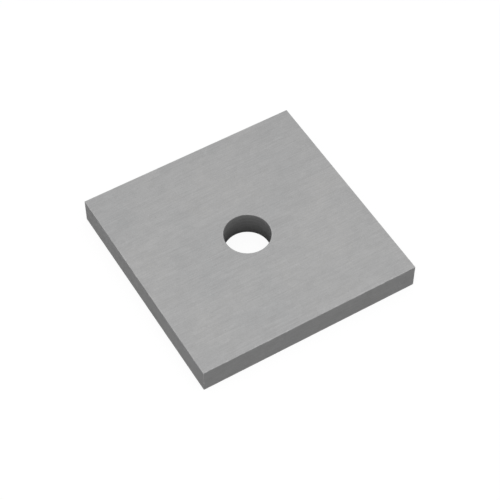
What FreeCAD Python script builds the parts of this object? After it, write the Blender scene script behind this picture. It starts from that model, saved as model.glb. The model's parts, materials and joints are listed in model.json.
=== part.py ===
import FreeCAD, Part
import os

# Single hole flat plate: a square of flat steel bar, with one plain hole drilled through its middle.
# It is one piece. The origin is the middle of the underside, on the hole's axis.
# +Z runs up the hole, and X and Y run along the plate's sides.

# Driving dimensions, in millimetres
plate_side = 50.0  # both ways, because the plate is square
plate_thickness = 6.0  # the bar's own thickness
hole_diameter = 10.0  # loose clearance on an M8 bolt
edge_radius = 0.1  # light rounding that tumbling leaves on every outer edge and corner
rim_chamfer = 0.1  # light cut of the deburring tool at both ends of the hole


def rounded_square():
    """The blank before drilling: a square raised to the bar's thickness, then rounded on its edges."""
    half_side = plate_side / 2
    corners = [
        FreeCAD.Vector(-half_side, -half_side, 0),
        FreeCAD.Vector(half_side, -half_side, 0),
        FreeCAD.Vector(half_side, half_side, 0),
        FreeCAD.Vector(-half_side, half_side, 0),
    ]
    outline = Part.makePolygon(corners + corners[:1])
    square = Part.Face(outline).extrude(FreeCAD.Vector(0, 0, plate_thickness))
    return square.makeFillet(edge_radius, square.Edges)


def drilled_waste():
    """What leaves the hole: the drill's core, flared at both ends by the deburring tool."""
    bore_radius = hole_diameter / 2
    # Each flare is a 45 degree cone, from one chamfer inside the plate to one chamfer past its face.
    flare_radius = bore_radius + 2 * rim_chamfer
    below = -rim_chamfer
    above = plate_thickness + rim_chamfer
    half_section = [
        FreeCAD.Vector(0, 0, below),
        FreeCAD.Vector(flare_radius, 0, below),
        FreeCAD.Vector(bore_radius, 0, rim_chamfer),
        FreeCAD.Vector(bore_radius, 0, plate_thickness - rim_chamfer),
        FreeCAD.Vector(flare_radius, 0, above),
        FreeCAD.Vector(0, 0, above),
    ]
    outline = Part.makePolygon(half_section + half_section[:1])
    hole_axis = FreeCAD.Vector(0, 0, 1)
    return Part.Face(outline).revolve(FreeCAD.Vector(0, 0, 0), hole_axis, 360)


flat_plate = rounded_square().cut(drilled_waste())

os.makedirs("parts", exist_ok=True)
flat_plate.exportStep("parts/flat_plate.step")
solid_count = len(flat_plate.Solids)
print(f"flat_plate: {solid_count} solid, {flat_plate.Volume:.2f} mm3, valid {flat_plate.isValid()}")
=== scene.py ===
# %% [markdown]
# A single hole flat plate
#
# The object is a square of flat steel bar with one plain hole drilled through its middle. Such plates
# spread a bolt's load over framing. This one has a dull, even, neutral grey coat.
#
# The plate's shape comes ready made, at its real size, and isn't changed here. What is left to make is
# how it looks: the coat and its fine marks, the floor, the light and the camera. A picture could be
# wrapped round the plate for that, but it would blur up close and show its seams. So every mark is
# worked out from noise and cells, and the plate can be looked at from any side and any distance.

import json
import math

import bpy
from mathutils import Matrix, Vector


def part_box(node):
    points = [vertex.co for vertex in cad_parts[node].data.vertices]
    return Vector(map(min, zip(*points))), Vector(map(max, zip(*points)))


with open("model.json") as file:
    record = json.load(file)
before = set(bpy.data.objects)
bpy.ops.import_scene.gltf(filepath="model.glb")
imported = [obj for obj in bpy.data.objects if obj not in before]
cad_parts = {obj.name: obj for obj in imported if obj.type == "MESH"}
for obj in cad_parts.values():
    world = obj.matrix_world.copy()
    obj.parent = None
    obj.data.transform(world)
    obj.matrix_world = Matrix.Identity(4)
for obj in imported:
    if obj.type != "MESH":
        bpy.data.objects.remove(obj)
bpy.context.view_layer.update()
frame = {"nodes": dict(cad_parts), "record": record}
plate = frame["nodes"]["flat_plate"]
print(f"loaded {plate.name}: {len(plate.data.vertices)} corners, {len(plate.data.polygons)} faces")

# %% [markdown]
# The sizes that the finish follows
#
# The marks of making lie in zones: the two rolled faces, the two rolled edges, the two sawn ends and the
# drilled wall. A material can find each zone from the plate's own sizes. Typing the sizes in again would
# be one way, but they are read from the loaded plate, so that the finish still fits if the plate is ever
# made in another size. They are kept in millimetres, because marks on steel are easier to picture in
# millimetres than in metres.

# %% Read the sizes, in millimetres
MM = 0.001  # one millimetre, in metres
SAME_LEVEL = 0.001 * MM  # a corner this near the top is on the upper face

lowest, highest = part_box("flat_plate")
half_side = (highest.x - lowest.x) / 2 / MM
thickness = (highest.z - lowest.z) / MM
hole = next(mount for mount in frame["record"]["mounts"] if mount["name"] == "bolt_hole")
bore_radius = hole["dims"]["r_mm"]
rim_chamfer = (thickness - hole["dims"]["length_mm"]) / 2
on_upper_face = [corner.co for corner in plate.data.vertices if highest.z - corner.co.z < SAME_LEVEL]
edge_radius = half_side - max(place.x for place in on_upper_face) / MM
print(f"half side {half_side:.2f}, thickness {thickness:.2f}, bore radius {bore_radius:.2f} mm")
print(f"rim chamfer {rim_chamfer:.2f}, edge radius {edge_radius:.2f} mm")

# %% [markdown]
# Adding and wiring nodes
#
# A material is a tree of nodes. Wiring it by hand in the editor is quick for one material, but code is
# easier to read again later and to change in one place. Two helpers are enough to begin with. One feeds
# a socket with a plain value or with another node's output, and one adds a node and feeds its inputs.

# %% Helpers: feed and add
def feed(tree, socket, value):
    """Wires another node's output into a socket, or sets a plain value on it."""
    if isinstance(value, bpy.types.NodeSocket):
        tree.links.new(value, socket)
    else:
        socket.default_value = value


def add(tree, kind, settings=None, **values):
    """Adds a node. Settings are its properties, and values go to its inputs, with _ for a space."""
    node = tree.nodes.new(kind)
    for name, setting in (settings or {}).items():
        setattr(node, name, setting)
    for name, value in values.items():
        feed(tree, node.inputs[name.replace("_", " ")], value)
    return node


print("ready: feed and add")

# %% [markdown]
# Sums in a node tree
#
# Most of a finish is arithmetic: how far from the edge, how strong, how much of each. A node does one
# step of it, so a sum of ten steps is ten nodes. The helpers below add such a node and hand back its
# output, so that each finish reads like a short sum. Numbers and outputs can be mixed in them.

# %% Helpers: sums
def calc(tree, operation, *values):
    """One step of arithmetic on numbers."""
    node = add(tree, "ShaderNodeMath", {"operation": operation})
    for socket, value in zip(node.inputs, values):
        feed(tree, socket, value)
    return node.outputs[0]


def calc_vector(tree, operation, *values):
    """One step of arithmetic on places."""
    node = add(tree, "ShaderNodeVectorMath", {"operation": operation})
    for socket, value in zip(node.inputs, values):
        feed(tree, socket, value)
    return node.outputs[0]


def rise(tree, value, start, end):
    """A smooth step from 0 at start to 1 at end, and level past both. Start may be the larger one."""
    node = add(tree, "ShaderNodeMapRange", {"interpolation_type": "SMOOTHSTEP"})
    for title, number in (("Value", value), ("From Min", start), ("From Max", end)):
        feed(tree, node.inputs[title], number)
    return node.outputs["Result"]


print("ready: calc, calc_vector and rise")

# %% [markdown]
# Node groups
#
# An effect goes into a node group: a small tree of its own, with named inputs and outputs. The same
# nodes could be wired again wherever they are needed, but then a change would have to be made in each
# place. A group is built once, and each use of it brings its own values. This helper makes an empty one.

# %% Helper: a new node group
def new_group(title, takes, gives):
    """An empty node group. Takes and gives list its inputs and outputs as (name, kind)."""
    tree = bpy.data.node_groups.new(title, "ShaderNodeTree")
    for name, kind in takes:
        tree.interface.new_socket(name=name, in_out="INPUT", socket_type="NodeSocket" + kind)
    for name, kind in gives:
        tree.interface.new_socket(name=name, in_out="OUTPUT", socket_type="NodeSocket" + kind)
    inside = add(tree, "NodeGroupInput").outputs
    outside = add(tree, "NodeGroupOutput").inputs
    return tree, inside, outside


print("ready: new_group")

# %% [markdown]
# Which part of the plate is this?
#
# The bar was rolled, then sawn to length, then drilled, and each step left its own marks. So the
# material first works out where it is. The plate could have been split into pieces with one material
# each, but it is one solid, and a seam would show in its rounded edges. Instead this group compares the
# place with the plate's sizes and gives a mask from 0 to 1 for each zone.
#
# It also gives the distance to the nearest outer edge and to the hole's rim. A place on any face of a
# square block lies in one of its planes, so one of the three depths under them is nothing. The middle
# one of the three is how far the nearest edge is.

# %% Node group: zones of the plate
WALL_FADE = (rim_chamfer * 0.5, rim_chamfer * 0.2)  # millimetres off the wall, where its mask rises
SIDE_FADE = (edge_radius * 0.6, edge_radius * 0.2)  # the same for the plate's four sides


def depth(tree, offset, half_width):
    """How far a place is under the nearer of two planes that are the half width from the middle."""
    return calc(tree, "SUBTRACT", half_width, calc(tree, "ABSOLUTE", offset))


def make_zones():
    masks = [(name, "Float") for name in ("Drilled", "Sawn", "Rolled edge", "To edge", "To rim")]
    tree, given, made = new_group("zones_of_the_plate", [("Place", "Vector")], masks)
    spot = add(tree, "ShaderNodeSeparateXYZ", Vector=given["Place"]).outputs
    from_axis = calc_vector(tree, "MULTIPLY", given["Place"], (1, 1, 0))
    radius = add(tree, "ShaderNodeVectorMath", {"operation": "LENGTH"}, Vector=from_axis).outputs["Value"]
    depth_x = depth(tree, spot["X"], half_side)
    depth_y = depth(tree, spot["Y"], half_side)
    depth_z = depth(tree, calc(tree, "SUBTRACT", spot["Z"], thickness / 2), thickness / 2)
    nearer = calc(tree, "MINIMUM", depth_x, depth_y)
    farther = calc(tree, "MAXIMUM", depth_x, depth_y)
    past_wall = calc(tree, "SUBTRACT", radius, bore_radius)
    feed(tree, made["Drilled"], rise(tree, past_wall, *WALL_FADE))
    feed(tree, made["Sawn"], rise(tree, depth_x, *SIDE_FADE))
    feed(tree, made["Rolled edge"], rise(tree, depth_y, *SIDE_FADE))
    feed(tree, made["To edge"], calc(tree, "MAXIMUM", nearer, calc(tree, "MINIMUM", farther, depth_z)))
    feed(tree, made["To rim"], calc(tree, "MAXIMUM", past_wall, depth_z))
    return tree


zones = make_zones()
print(f"{zones.name}: {len(zones.nodes)} nodes")

# %% [markdown]
# Marks that a tool drags along
#
# Rolling, sawing and drilling all leave fine lines that run the way the tool went. They could be drawn
# as even stripes, but real ones start and stop and have no even spacing. Noise that is stretched along
# the tool's path does that. The group takes how many marks there are to a millimetre along each axis,
# so that it serves the rolled faces, the sawn ends and the drilled wall, each with its own values and
# its own strength. It gives broad marks, and hair lines that are nearly three times as fine.

# %% Node group: drag marks
HAIR_LINES_FINER = 2.7  # times as fine as the broad marks


def centred(tree, noise):
    """Noise runs from 0 to 1. This makes it run from -0.5 to 0.5, so that it adds no brightness."""
    return calc(tree, "SUBTRACT", noise, 0.5)


def make_drag_marks():
    tree, given, made = new_group(
        "drag_marks",
        [("Place", "Vector"), ("Marks per mm", "Vector"), ("Strength", "Float")],
        [("Broad", "Float"), ("Hair", "Float")],
    )
    stretched = calc_vector(tree, "MULTIPLY", given["Place"], given["Marks per mm"])
    finer = calc_vector(tree, "MULTIPLY", stretched, (HAIR_LINES_FINER,) * 3)
    for name, spot in (("Broad", stretched), ("Hair", finer)):
        lines = add(tree, "ShaderNodeTexNoise", Vector=spot, Scale=1.0, Detail=2.0, Roughness=0.6)
        feed(tree, made[name], calc(tree, "MULTIPLY", centred(tree, lines.outputs[0]), given["Strength"]))
    return tree


drag_marks = make_drag_marks()
print(f"{drag_marks.name}: {len(drag_marks.nodes)} nodes")

# %% [markdown]
# Clouds, crystals and specks in the coat
#
# A dull zinc coat is never one flat grey. It weathers in soft clouds, it sets in crystals a millimetre
# or two across, and its surface is finely grained like frost. A painted picture could hold that, but
# noise and a pattern of cells do it without one, and nothing repeats anywhere on the plate. The cells
# have straight borders, which would look like tiles, so the place is shaken a little before it is cut up.
# All three come out centred on nothing, so that the finish can add them to its grey.

# %% Node group: coat pattern
SHAKES_PER_MM = 2.2  # how finely the crystals' borders are shaken
SHAKE_REACH = 0.9  # millimetres, from one side to the other


def random_numbers(tree, cell):
    """Three random numbers from 0 to 1 that each cell keeps for itself, as Red, Green and Blue."""
    return add(tree, "ShaderNodeSeparateColor", Color=cell.outputs["Color"]).outputs


def shaken(tree, place):
    """The place, moved about by noise."""
    noise = add(tree, "ShaderNodeTexNoise", Vector=place, Scale=SHAKES_PER_MM, Detail=3.0, Roughness=0.6)
    shift = calc_vector(tree, "SUBTRACT", noise.outputs["Color"], (0.5, 0.5, 0.5))
    return calc_vector(tree, "MULTIPLY_ADD", shift, (SHAKE_REACH,) * 3, place)


def make_coat_pattern():
    sizes = ("Cloud size", "Crystal size", "Speck size")
    tree, given, made = new_group(
        "coat_pattern",
        [("Place", "Vector")] + [(name, "Float") for name in sizes],
        [("Clouds", "Float"), ("Crystals", "Float"), ("Specks", "Float")],
    )
    place = given["Place"]
    clouds, crystals, specks = [calc(tree, "DIVIDE", 1.0, given[name]) for name in sizes]
    cloud = add(tree, "ShaderNodeTexNoise", Vector=place, Scale=clouds, Detail=3.0, Distortion=0.6)
    crystal = add(tree, "ShaderNodeTexVoronoi", Vector=shaken(tree, place), Scale=crystals)
    speck = add(tree, "ShaderNodeTexNoise", Vector=place, Scale=specks, Detail=2.0)
    feed(tree, made["Clouds"], centred(tree, cloud.outputs[0]))
    feed(tree, made["Crystals"], centred(tree, random_numbers(tree, crystal)["Red"]))
    feed(tree, made["Specks"], centred(tree, speck.outputs[0]))
    return tree


coat_pattern = make_coat_pattern()
print(f"{coat_pattern.name}: {len(coat_pattern.nodes)} nodes")

# %% [markdown]
# One bent line in a cell
#
# Small plates are tumbled together to take their sharp edges off. They knock and rub each other, which
# leaves short, faint scuffs in every direction. Stretched noise would give lines in one direction only,
# and a painted map would have to be fitted to each face. Here the face is divided into cells, and each
# cell gets one short line. Two random numbers of the cell turn the line and bend it.

# %% Helper: a bent line
SCUFF_BEND = 1.2  # how strongly the lines bow, at most half of it either way


def bent_line(tree, from_point, chance):
    """How far along a cell's own line a place is, and how far off it, both as shares of a cell."""
    turn = calc(tree, "MULTIPLY", chance["Red"], math.tau)
    turned = add(tree, "ShaderNodeVectorRotate", {"rotation_type": "Z_AXIS"}, Vector=from_point, Angle=turn)
    line = add(tree, "ShaderNodeSeparateXYZ", Vector=turned.outputs[0]).outputs
    bend = calc(tree, "MULTIPLY", centred(tree, chance["Green"]), SCUFF_BEND)
    bow = calc(tree, "MULTIPLY", calc(tree, "MULTIPLY", line["X"], line["X"]), bend)
    along_line = calc(tree, "ABSOLUTE", line["X"])
    off_line = calc(tree, "ABSOLUTE", calc(tree, "SUBTRACT", line["Y"], bow))
    return along_line, off_line


print(f"ready: bent_line, bowed by up to {SCUFF_BEND / 2} of the square of its length")

# %% [markdown]
# Scuffs
#
# The group puts such a line into every cell. A line alone would look like a dash in a drawing, so it
# fades out towards its ends, noise breaks it up, as a knock is never even, and a third random number
# says how strong it is, or that the cell has none. Scuffs lie flat on a face, so the group takes places
# in that face: how far along it and how far across.

# %% Node group: scuffs
SCUFF_ENDS = (0.45, 0.1)  # of a cell from its point: where a scuff ends, and where it starts to fade
SCUFF_PATCHES = 2.5  # patches of noise to a millimetre
SCUFF_BROKEN = (0.35, 0.6)  # the noise where a scuff is gone, and where it is whole


def half_width_in_cells(tree, given):
    """Half of the input Width, as a share of the input Cell."""
    return calc(tree, "DIVIDE", given["Width"], calc(tree, "MULTIPLY", given["Cell"], 2.0))


def make_scuffs():
    sizes = [(name, "Float") for name in ("Along", "Across", "Cell", "Width", "Share")]
    tree, given, made = new_group("scuffs", sizes, [("Scuffs", "Float")])
    flat = add(tree, "ShaderNodeCombineXYZ", X=given["Along"], Y=given["Across"]).outputs[0]
    cells_per_mm = calc(tree, "DIVIDE", 1.0, given["Cell"])
    scaled = add(tree, "ShaderNodeVectorMath", {"operation": "SCALE"}, Vector=flat, Scale=cells_per_mm)
    in_cells = scaled.outputs[0]
    cell = add(tree, "ShaderNodeTexVoronoi", {"voronoi_dimensions": "2D"}, Vector=in_cells, Scale=1.0)
    chance = random_numbers(tree, cell)
    from_point = calc_vector(tree, "SUBTRACT", in_cells, cell.outputs["Position"])
    along_line, off_line = bent_line(tree, from_point, chance)
    patches = {"Scale": SCUFF_PATCHES, "Detail": 1.0}
    noise = add(tree, "ShaderNodeTexNoise", {"noise_dimensions": "2D"}, Vector=flat, **patches)
    scuff = rise(tree, off_line, half_width_in_cells(tree, given), 0.0)
    for share in (
        rise(tree, along_line, *SCUFF_ENDS),
        rise(tree, noise.outputs[0], *SCUFF_BROKEN),
        rise(tree, chance["Blue"], calc(tree, "SUBTRACT", 1.0, given["Share"]), 1.0),
    ):
        scuff = calc(tree, "MULTIPLY", scuff, share)
    feed(tree, made["Scuffs"], scuff)
    return tree


scuffs = make_scuffs()
print(f"{scuffs.name}: {len(scuffs.nodes)} nodes")

# %% [markdown]
# Pits
#
# Here and there the coat has a pinhole, or the steel under it a pit. They could be cut into the shape,
# but they are a quarter of a millimetre across at most. So cells are used again: a pit may lie at each
# cell's point, and a random number says which few cells have one.

# %% Node group: pits
PIT_BOTTOM = 0.3  # of a pit's half width, from its middle to where its slope begins


def make_pits():
    sizes = [(name, "Float") for name in ("Cell", "Width", "Share")]
    tree, given, made = new_group("pits", [("Place", "Vector")] + sizes, [("Pits", "Float")])
    cells_per_mm = calc(tree, "DIVIDE", 1.0, given["Cell"])
    cell = add(tree, "ShaderNodeTexVoronoi", Vector=given["Place"], Scale=cells_per_mm)
    half_width = half_width_in_cells(tree, given)
    pit = rise(tree, cell.outputs["Distance"], half_width, calc(tree, "MULTIPLY", half_width, PIT_BOTTOM))
    present = calc(tree, "LESS_THAN", random_numbers(tree, cell)["Red"], given["Share"])
    feed(tree, made["Pits"], calc(tree, "MULTIPLY", pit, present))
    return tree


pits = make_pits()
print(f"{pits.name}: {len(pits.nodes)} nodes")

# %% [markdown]
# Rubbed edges
#
# Hands and other plates touch a plate at its edges first, so the coat is a shade brighter and smoother
# there. Blender can find edges by itself, by their Pointiness, but only where the mesh has many corners,
# and this one's faces are large and flat. The distance to the edge is known here, so it is used instead.
#
# An even line would look drawn on. So the group widens and narrows the rubbed band with noise, and breaks
# it up. It serves the outer edges and the hole's rims, each with its own distance.

# %% Node group: rubbed edge
RUB_PATCHES = 0.9  # patches of noise to a millimetre
RUB_BROKEN = (0.35, 0.7)  # the noise where nothing is rubbed, and where the band is whole
RUB_NARROWEST = 0.25  # the narrowest band, as a share of the width
RUB_FADE = (1.0, 0.2)  # of the band, where the rub ends and where it is whole


def make_rubbed_edge():
    tree, given, made = new_group(
        "rubbed_edge",
        [("Place", "Vector"), ("Distance", "Float"), ("Width", "Float")],
        [("Rub", "Float")],
    )
    patches = {"Scale": RUB_PATCHES, "Detail": 4.0, "Roughness": 0.65}
    noise = add(tree, "ShaderNodeTexNoise", Vector=given["Place"], **patches)
    uneven = rise(tree, noise.outputs[0], *RUB_BROKEN)
    band = calc(tree, "MULTIPLY", given["Width"], calc(tree, "ADD", uneven, RUB_NARROWEST))
    rub = rise(tree, calc(tree, "DIVIDE", given["Distance"], band), *RUB_FADE)
    feed(tree, made["Rub"], calc(tree, "MULTIPLY", rub, uneven))
    return tree


rubbed_edge = make_rubbed_edge()
print(f"{rubbed_edge.name}: {len(rubbed_edge.nodes)} nodes")

# %% [markdown]
# The coated steel: places
#
# Now the finish is put together, in one material for the whole plate. First it takes the place of each
# point in the plate's own frame, in millimetres. Texture space that is fitted to the object's box would
# be squashed in height, because the plate is thin, and the marks with it. Each group is placed with its
# own values from here on, which takes one more helper.

# %% Coat: places
def place_group(tree, group, **values):
    """Puts a node group into a tree with its own values, and hands back its outputs."""
    return add(tree, "ShaderNodeGroup", {"node_tree": group}, **values).outputs


coat = bpy.data.materials.new("dull_zinc_coat")
coat.use_nodes = True
tree = coat.node_tree
tree.nodes.clear()

in_metres = add(tree, "ShaderNodeTexCoord").outputs["Object"]
place = calc_vector(tree, "MULTIPLY", in_metres, (1 / MM,) * 3)
spot = add(tree, "ShaderNodeSeparateXYZ", Vector=place).outputs
zone = place_group(tree, zones, Place=place)
print(f"{coat.name}: places in millimetres, {len(zone)} zones and distances")

# %% [markdown]
# The coated steel: places within a face
#
# Scuffs need the place within a face. On the upper face that is X and Y, on a sawn end Y and Z, and on a
# rolled edge X and Z. Three materials could each take their own two, but the zones' masks can choose
# them in one. The third one, which runs through the face, shifts the scuffs, or opposite faces would
# have the same ones.

# %% Coat: places within a face
FACE_SHIFT = 7.3  # how far the scuffs move for each millimetre through the plate


def choose(tree, share, first, second):
    """The first number where the share is 0, the second where it is 1, and a mix in between."""
    node = add(tree, "ShaderNodeMix", {"data_type": "FLOAT"}, Factor=share, A=first, B=second)
    return node.outputs["Result"]


along = choose(tree, zone["Sawn"], spot["X"], spot["Y"])
on_side = calc(tree, "MAXIMUM", zone["Sawn"], zone["Rolled edge"])
across = choose(tree, on_side, spot["Y"], spot["Z"])
through = choose(tree, zone["Rolled edge"], spot["Z"], spot["Y"])
through = choose(tree, zone["Sawn"], through, spot["X"])
along = calc(tree, "MULTIPLY_ADD", through, FACE_SHIFT, along)
print(f"places along and across each face, shifted by {FACE_SHIFT} mm for each mm through it")

# %% [markdown]
# The coated steel: tool marks
#
# The bar came out of the rolls along X, so its faces and its rolled edges have long lines along X. The
# saw went across the bar along Y and down through it, which leaves lines along Y at the two ends. The
# drill turned, so its lines run round the wall. An angle round the hole would do for those, but none is
# needed: marks that are long in X and in Y but close together in Z run round the wall by themselves.

# %% Coat: tool marks
ROLLED_MARKS = (0.09, 2.7, 2.7)  # to a millimetre along X, Y and Z
SAW_MARKS = (2.2, 0.11, 2.2)
DRILL_MARKS = (0.08, 0.08, 3.4)

rolled = place_group(tree, drag_marks, Place=place, Marks_per_mm=ROLLED_MARKS, Strength=1.0)
sawn = place_group(tree, drag_marks, Place=place, Marks_per_mm=SAW_MARKS, Strength=1.5)
drilled = place_group(tree, drag_marks, Place=place, Marks_per_mm=DRILL_MARKS, Strength=2.2)
marks = {}
for name in ("Broad", "Hair"):
    outside = choose(tree, zone["Sawn"], rolled[name], sawn[name])
    marks[name] = choose(tree, zone["Drilled"], outside, drilled[name])
print(f"rolled, sawn and drilled marks, each {' and '.join(marks).lower()}")

# %% [markdown]
# The coated steel: its own pattern and pits, and its wear
#
# The sizes are in millimetres, as they would be measured on a real plate with a loupe. One size of scuff
# would look like a stamp, so there are long ones and short ones. The drilled wall gets no scuffs,
# because nothing reaches into the hole to knock it.

# %% Coat: pattern, pits and wear
PATTERN = {"Cloud_size": 11.0, "Crystal_size": 1.6, "Speck_size": 0.22}
PITS = {"Cell": 0.9, "Width": 0.24, "Share": 0.10}
LONG_SCUFFS = {"Cell": 4.2, "Width": 0.16, "Share": 0.8}
SHORT_SCUFFS = {"Cell": 1.7, "Width": 0.13, "Share": 0.5}
RUB_WIDTH = 0.4

pattern = place_group(tree, coat_pattern, Place=place, **PATTERN)
pitted = place_group(tree, pits, Place=place, **PITS)["Pits"]
long_scuffs = place_group(tree, scuffs, Along=along, Across=across, **LONG_SCUFFS)["Scuffs"]
short_scuffs = place_group(tree, scuffs, Along=along, Across=across, **SHORT_SCUFFS)["Scuffs"]
scuffed = choose(tree, zone["Drilled"], calc(tree, "MAXIMUM", long_scuffs, short_scuffs), 0.0)
edge_rub = place_group(tree, rubbed_edge, Place=place, Distance=zone["To edge"], Width=RUB_WIDTH)["Rub"]
rim_rub = place_group(tree, rubbed_edge, Place=place, Distance=zone["To rim"], Width=RUB_WIDTH)["Rub"]
rubbed = calc(tree, "MAXIMUM", edge_rub, rim_rub)
print(f"clouds {PATTERN['Cloud_size']} mm, crystals {PATTERN['Crystal_size']} mm, rub {RUB_WIDTH} mm wide")

# %% [markdown]
# The coated steel: lighter and darker
#
# The coat is one neutral grey, and each effect makes it a few percent lighter or darker. The tool marks
# are a grain of lighter and darker lines, and they and the pits are painted darker where they cut in:
# painted shade for relief too fine to shade itself. Scuffs and rubbed edges are lighter, where they wear
# the coat. A chain of colour mixes could do that, but it would have to pass on three channels. Here the
# effects add up to one number near 1, the tone, which the grey is multiplied by, so each of them stays
# easy to change.

# %% Coat: tone
LIGHTER_BY = (
    (pattern["Clouds"], 0.14),
    (pattern["Crystals"], 0.05),
    (pattern["Specks"], 0.30),
    # Grain, and painted shade: the tool marks are darker where they cut in.
    (marks["Broad"], 0.16),
    (marks["Hair"], 0.28),
    (scuffed, 0.16),
    # Painted shade: the pits are darker than the coat around them.
    (pitted, -0.25),
    (rubbed, 0.16),
)


def add_up(tree, total, effects):
    """Adds each effect to the total, times its own strength."""
    for effect, strength in effects:
        total = calc(tree, "MULTIPLY_ADD", effect, strength, total)
    return total


tone = add_up(tree, 1.0, LIGHTER_BY)
print(f"tone from {len(LIGHTER_BY)} effects")

# %% [markdown]
# The coated steel: colour
#
# The drilled wall is painted darker than the rest, and darker still downwards: painted shade for the
# hole, which less and less light gets into. A second material for the wall would end in a hard line at
# the rim, so the zone's mask mixes the two greys instead. The clouds also turn the grey a trace warmer
# or cooler, as no real coat is quite neutral all over.

# %% Coat: colour, and painted shade in the hole
COAT_GREY = 0.39  # the share of light that the coat sends back
# Painted shade: the drilled wall's grey is darker than the coat's, and darker still at its lower end.
WALL_PAINTED_SHADE_HIGH = 0.262  # the same for the drilled wall, at its upper end
WALL_PAINTED_SHADE_LOW = 0.125  # and at its lower end
WARMTH = 0.02

# The wall's grey fades from its upper to its lower end, as painted shade that deepens down the hole.
share_up = calc(tree, "DIVIDE", spot["Z"], thickness)
wall_painted_shade = choose(tree, share_up, WALL_PAINTED_SHADE_LOW, WALL_PAINTED_SHADE_HIGH)
grey = calc(tree, "MULTIPLY", choose(tree, zone["Drilled"], COAT_GREY, wall_painted_shade), tone)
red = calc(tree, "MULTIPLY", grey, add_up(tree, 1.0, [(pattern["Clouds"], WARMTH)]))
blue = calc(tree, "MULTIPLY", grey, add_up(tree, 1.0, [(pattern["Clouds"], -WARMTH)]))
colour = add(tree, "ShaderNodeCombineColor", Red=red, Green=grey, Blue=blue).outputs[0]
print(f"grey {COAT_GREY}, drilled wall {WALL_PAINTED_SHADE_LOW} to {WALL_PAINTED_SHADE_HIGH}")

# %% [markdown]
# The coated steel: relief
#
# The same effects stand up or cut in by a few thousandths of a millimetre. Moving the mesh by so little
# would need millions of faces, so the heights go to a Bump node, which tilts the surface as they would.

# %% Coat: relief
HEIGHTS = (  # millimetres
    (marks["Broad"], 0.030),
    (marks["Hair"], 0.010),
    (pattern["Specks"], 0.008),
    (pattern["Crystals"], 0.002),
    (scuffed, -0.005),
    (pitted, -0.020),
)

height = add_up(tree, 0.0, HEIGHTS)
relief = add(tree, "ShaderNodeBump", Strength=1.0, Distance=MM, Height=height).outputs["Normal"]
print(f"relief from {len(HEIGHTS)} effects")

# %% [markdown]
# The coated steel: shine
#
# A bare, bright metal would mirror the white surroundings and come out pale on every side. A weathered
# zinc coat is chalky: it scatters light as matt paint does, with a weak, wide shine. So the surface is
# rough, its shine is low, and it isn't metallic. Only where it is rubbed or scuffed is it a little
# smoother, and a trace of the bare metal shows through. The drilled wall is the roughest, because a
# drill tears the steel more than rolls do.

# %% Coat: shader
ROUGHNESS = 0.62
ROUGHER_BY = (
    (pattern["Clouds"], 0.25),
    (rubbed, -0.18),
    (scuffed, -0.10),
    (zone["Drilled"], 0.30),
)
SHINE = 0.12
BARE_METAL = 0.35  # how much of the metal shows where the coat is rubbed through

rough = add_up(tree, ROUGHNESS, ROUGHER_BY)
bare = calc(tree, "MULTIPLY", calc(tree, "MAXIMUM", rubbed, scuffed), BARE_METAL)
looks = {"Base_Color": colour, "Metallic": bare, "Roughness": rough, "Normal": relief}
shader = add(tree, "ShaderNodeBsdfPrincipled", **looks)
shader.inputs["Specular IOR Level"].default_value = SHINE
add(tree, "ShaderNodeOutputMaterial", Surface=shader.outputs[0])
print(f"{coat.name}: {len(tree.nodes)} nodes")

# %% [markdown]
# The coat goes on
#
# A mesh holds a list of materials, and each face says which one of them it wears. The plate came with a
# plain stand-in. The faces could be shared out between several materials, but the coat tells its zones
# apart by itself, so it is the only one in the list.

# %% Put the coat on the plate
plate.data.materials.clear()
plate.data.materials.append(coat)
print(f"{plate.name} has {plate.data.materials[0].name}")

# %% [markdown]
# White for those who look
#
# The plate stands before plain white. A white floor in plain light would throw a lot of that light back
# up at the plate's sides, which are much darker than its face. So white is shown only to the rays that
# look at the surroundings: from the camera, from a reflection or through glass. The rays that gather
# light on the plate see something dimmer. The Light Path node tells which kind a ray is.

# %% Helper: is this ray looking?
def looked_at(tree):
    """1 for a ray that looks at a surface, and 0 for one that gathers light on the plate."""
    path = add(tree, "ShaderNodeLightPath").outputs
    seen = calc(tree, "MAXIMUM", path["Is Camera Ray"], path["Is Glossy Ray"])
    return calc(tree, "MAXIMUM", seen, path["Is Transmission Ray"])


print("ready: looked_at")

# %% [markdown]
# What the floor is made of
#
# The plate lies on a plain white floor. White paint would be the simple way to make one, but it would
# light the plate from below. So the floor scatters only a little light, and glows white for the rays
# that look at it. The scattered part darkens where the plate shades it, which keeps a faint shadow.

# %% Floor material
FLOOR_GLOW = 0.90
FLOOR_SCATTER = 0.12


def make_floor_material():
    material = bpy.data.materials.new("white_floor")
    material.use_nodes = True
    tree = material.node_tree
    tree.nodes.clear()
    scatter = add(tree, "ShaderNodeBsdfDiffuse", Color=(FLOOR_SCATTER,) * 3 + (1,)).outputs[0]
    strength = calc(tree, "MULTIPLY", looked_at(tree), FLOOR_GLOW)
    glow = add(tree, "ShaderNodeEmission", Color=(1, 1, 1, 1), Strength=strength).outputs[0]
    both = add(tree, "ShaderNodeAddShader")
    tree.links.new(scatter, both.inputs[0])
    tree.links.new(glow, both.inputs[1])
    add(tree, "ShaderNodeOutputMaterial", Surface=both.outputs[0])
    return material


white_floor = make_floor_material()
print(f"{white_floor.name}: glows {FLOOR_GLOW}, scatters {FLOOR_SCATTER}")

# %% [markdown]
# The floor
#
# A studio hides its floor's far edge with a backdrop that curves up. A white floor under a white sky
# needs none, as its edge can't be seen, so one large flat square is enough. It lies a hair's breadth under
# the plate, because two faces in exactly the same plane would flicker.

# %% Floor
FLOOR_REACH = 3.0  # metres from the plate to the floor's edge
FLOOR_GAP = 0.00001  # metres, so that the floor and the underside aren't in one plane


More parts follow.
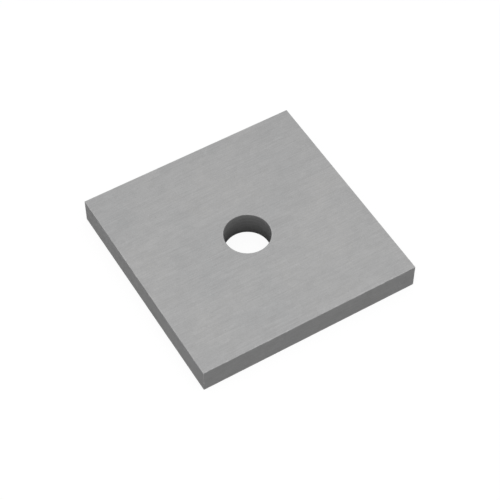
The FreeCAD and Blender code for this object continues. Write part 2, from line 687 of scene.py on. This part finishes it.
def make_floor():
    mesh = bpy.data.meshes.new("floor")
    square = [(-1, -1), (1, -1), (1, 1), (-1, 1)]
    corners = [(x * FLOOR_REACH, y * FLOOR_REACH, -FLOOR_GAP) for x, y in square]
    mesh.from_pydata(corners, [], [(0, 1, 2, 3)])
    mesh.materials.append(white_floor)
    floor = bpy.data.objects.new("floor", mesh)
    bpy.context.scene.collection.objects.link(floor)
    return floor


floor = make_floor()
print(f"floor: {2 * FLOOR_REACH:.0f} m square, {FLOOR_GAP / MM:.2f} mm under the plate")

# %% [markdown]
# The sky
#
# Soft light from all round comes from the world. One even colour would light the sides half as much as
# the face, so the sky is brighter overhead and dims towards the horizon. It is also a touch brighter in
# front than behind, as in a studio where the large light stands on the viewer's side. The camera and
# reflections see plain white instead, in the same way as on the floor.

# %% World
SKY_OVERHEAD = 1.18
SKY_HORIZON = 0.415
SKY_FRONT = 0.06  # more in front (-Y), and as much less behind


def make_world():
    world = bpy.data.worlds.new("studio")
    world.use_nodes = True
    tree = world.node_tree
    tree.nodes.clear()
    direction = add(tree, "ShaderNodeTexCoord").outputs["Generated"]
    part = add(tree, "ShaderNodeSeparateXYZ", Vector=direction).outputs
    up = calc(tree, "MAXIMUM", part["Z"], 0.0)
    steep = calc(tree, "MULTIPLY", up, up)
    strength = calc(tree, "MULTIPLY_ADD", steep, SKY_OVERHEAD - SKY_HORIZON, SKY_HORIZON)
    strength = calc(tree, "MULTIPLY_ADD", part["Y"], -SKY_FRONT, strength)
    light = add(tree, "ShaderNodeBackground", Color=(1, 1, 1, 1), Strength=strength)
    white = add(tree, "ShaderNodeBackground", Color=(1, 1, 1, 1), Strength=1.0)
    either = add(tree, "ShaderNodeMixShader")
    tree.links.new(looked_at(tree), either.inputs[0])
    tree.links.new(light.outputs[0], either.inputs[1])
    tree.links.new(white.outputs[0], either.inputs[2])
    add(tree, "ShaderNodeOutputWorld", Surface=either.outputs[0])
    return world


bpy.context.scene.world = make_world()
print(f"sky: {SKY_OVERHEAD} overhead, {SKY_HORIZON} at the horizon, {SKY_FRONT} more in front")

# %% [markdown]
# Places around the plate
#
# The lamp and the camera both stand somewhere around the plate and look at it. X, Y and Z would say
# where, but not how the plate is lit or seen. Two angles and a distance do, and are easy to change.

# %% Helper: a place around the plate
def around(azimuth, elevation, distance):
    """A place that far from the plate. Azimuth 0 is in front of it (-Y), and 90 is to its right (+X)."""
    turn = math.radians(azimuth)
    lift = math.radians(elevation)
    level = math.cos(lift)
    return Vector((math.sin(turn) * level, -math.cos(turn) * level, math.sin(lift))) * distance


print(f"in front of the plate: {tuple(round(step, 2) for step in around(0, 0, 1))}")

# %% [markdown]
# The lamp
#
# The upper face is a little brighter towards the viewer, which an even sky can't give. So one soft lamp
# hangs above the plate, somewhat to the viewer's side, close enough for its light to fall off across the
# face. It is a panel, because a small lamp would draw hard shadows and a bright spot, and neither shows
# here.

# %% Lamp
LAMP_AZIMUTH = -31  # degrees
LAMP_ELEVATION = 74  # degrees above the floor
LAMP_DISTANCE = 0.16  # metres
LAMP_WIDTH = 0.08  # metres
LAMP_WATTS = 0.0505


def make_lamp():
    light = bpy.data.lights.new("overhead_panel", "AREA")
    light.shape = "SQUARE"
    light.size = LAMP_WIDTH
    light.energy = LAMP_WATTS
    lamp = bpy.data.objects.new("overhead_panel", light)
    lamp.location = around(LAMP_AZIMUTH, LAMP_ELEVATION, LAMP_DISTANCE)
    lamp.rotation_euler = lamp.location.to_track_quat("Z", "Y").to_euler()
    lamp.visible_camera = False
    bpy.context.scene.collection.objects.link(lamp)
    return lamp


overhead_panel = make_lamp()
print(f"{overhead_panel.name}: {LAMP_WATTS} W, {LAMP_WIDTH} m wide, {LAMP_DISTANCE} m away")

# %% [markdown]
# The camera
#
# The camera looks down on the plate from the front left. A short lens close by would make the far edges
# much shorter than the near ones, and here they are only a little shorter, so the lens is long and the
# camera stands back. Its aim is a little off the plate's middle, which puts the plate where it stands in
# the frame.

# %% Camera
VIEW_AZIMUTH = -30.98  # degrees
VIEW_ELEVATION = 53.14  # degrees above the floor
VIEW_DISTANCE = 0.3388  # metres from the aim
AIM_FROM_MIDDLE = Vector((-0.56, -1.96, 0)) * MM
LENS = 117.33  # millimetres
FILM_WIDTH = 36  # millimetres
NEAREST_SEEN = 0.01  # metres from the camera


def make_camera():
    data = bpy.data.cameras.new("camera")
    data.sensor_width = FILM_WIDTH
    data.lens = LENS
    data.clip_start = NEAREST_SEEN
    camera = bpy.data.objects.new("camera", data)
    back = around(VIEW_AZIMUTH, VIEW_ELEVATION, 1)
    camera.location = (lowest + highest) / 2 + AIM_FROM_MIDDLE + back * VIEW_DISTANCE
    camera.rotation_euler = back.to_track_quat("Z", "Y").to_euler()
    bpy.context.scene.collection.objects.link(camera)
    return camera


bpy.context.scene.camera = make_camera()
print(f"camera: {LENS} mm lens, {VIEW_DISTANCE} m from its aim")

# %% [markdown]
# Finish
#
# A film-like view would bend the greys, so the view is Standard, which shows them as written.

# %% Colour and finish
bpy.context.scene.view_settings.view_transform = "Standard"
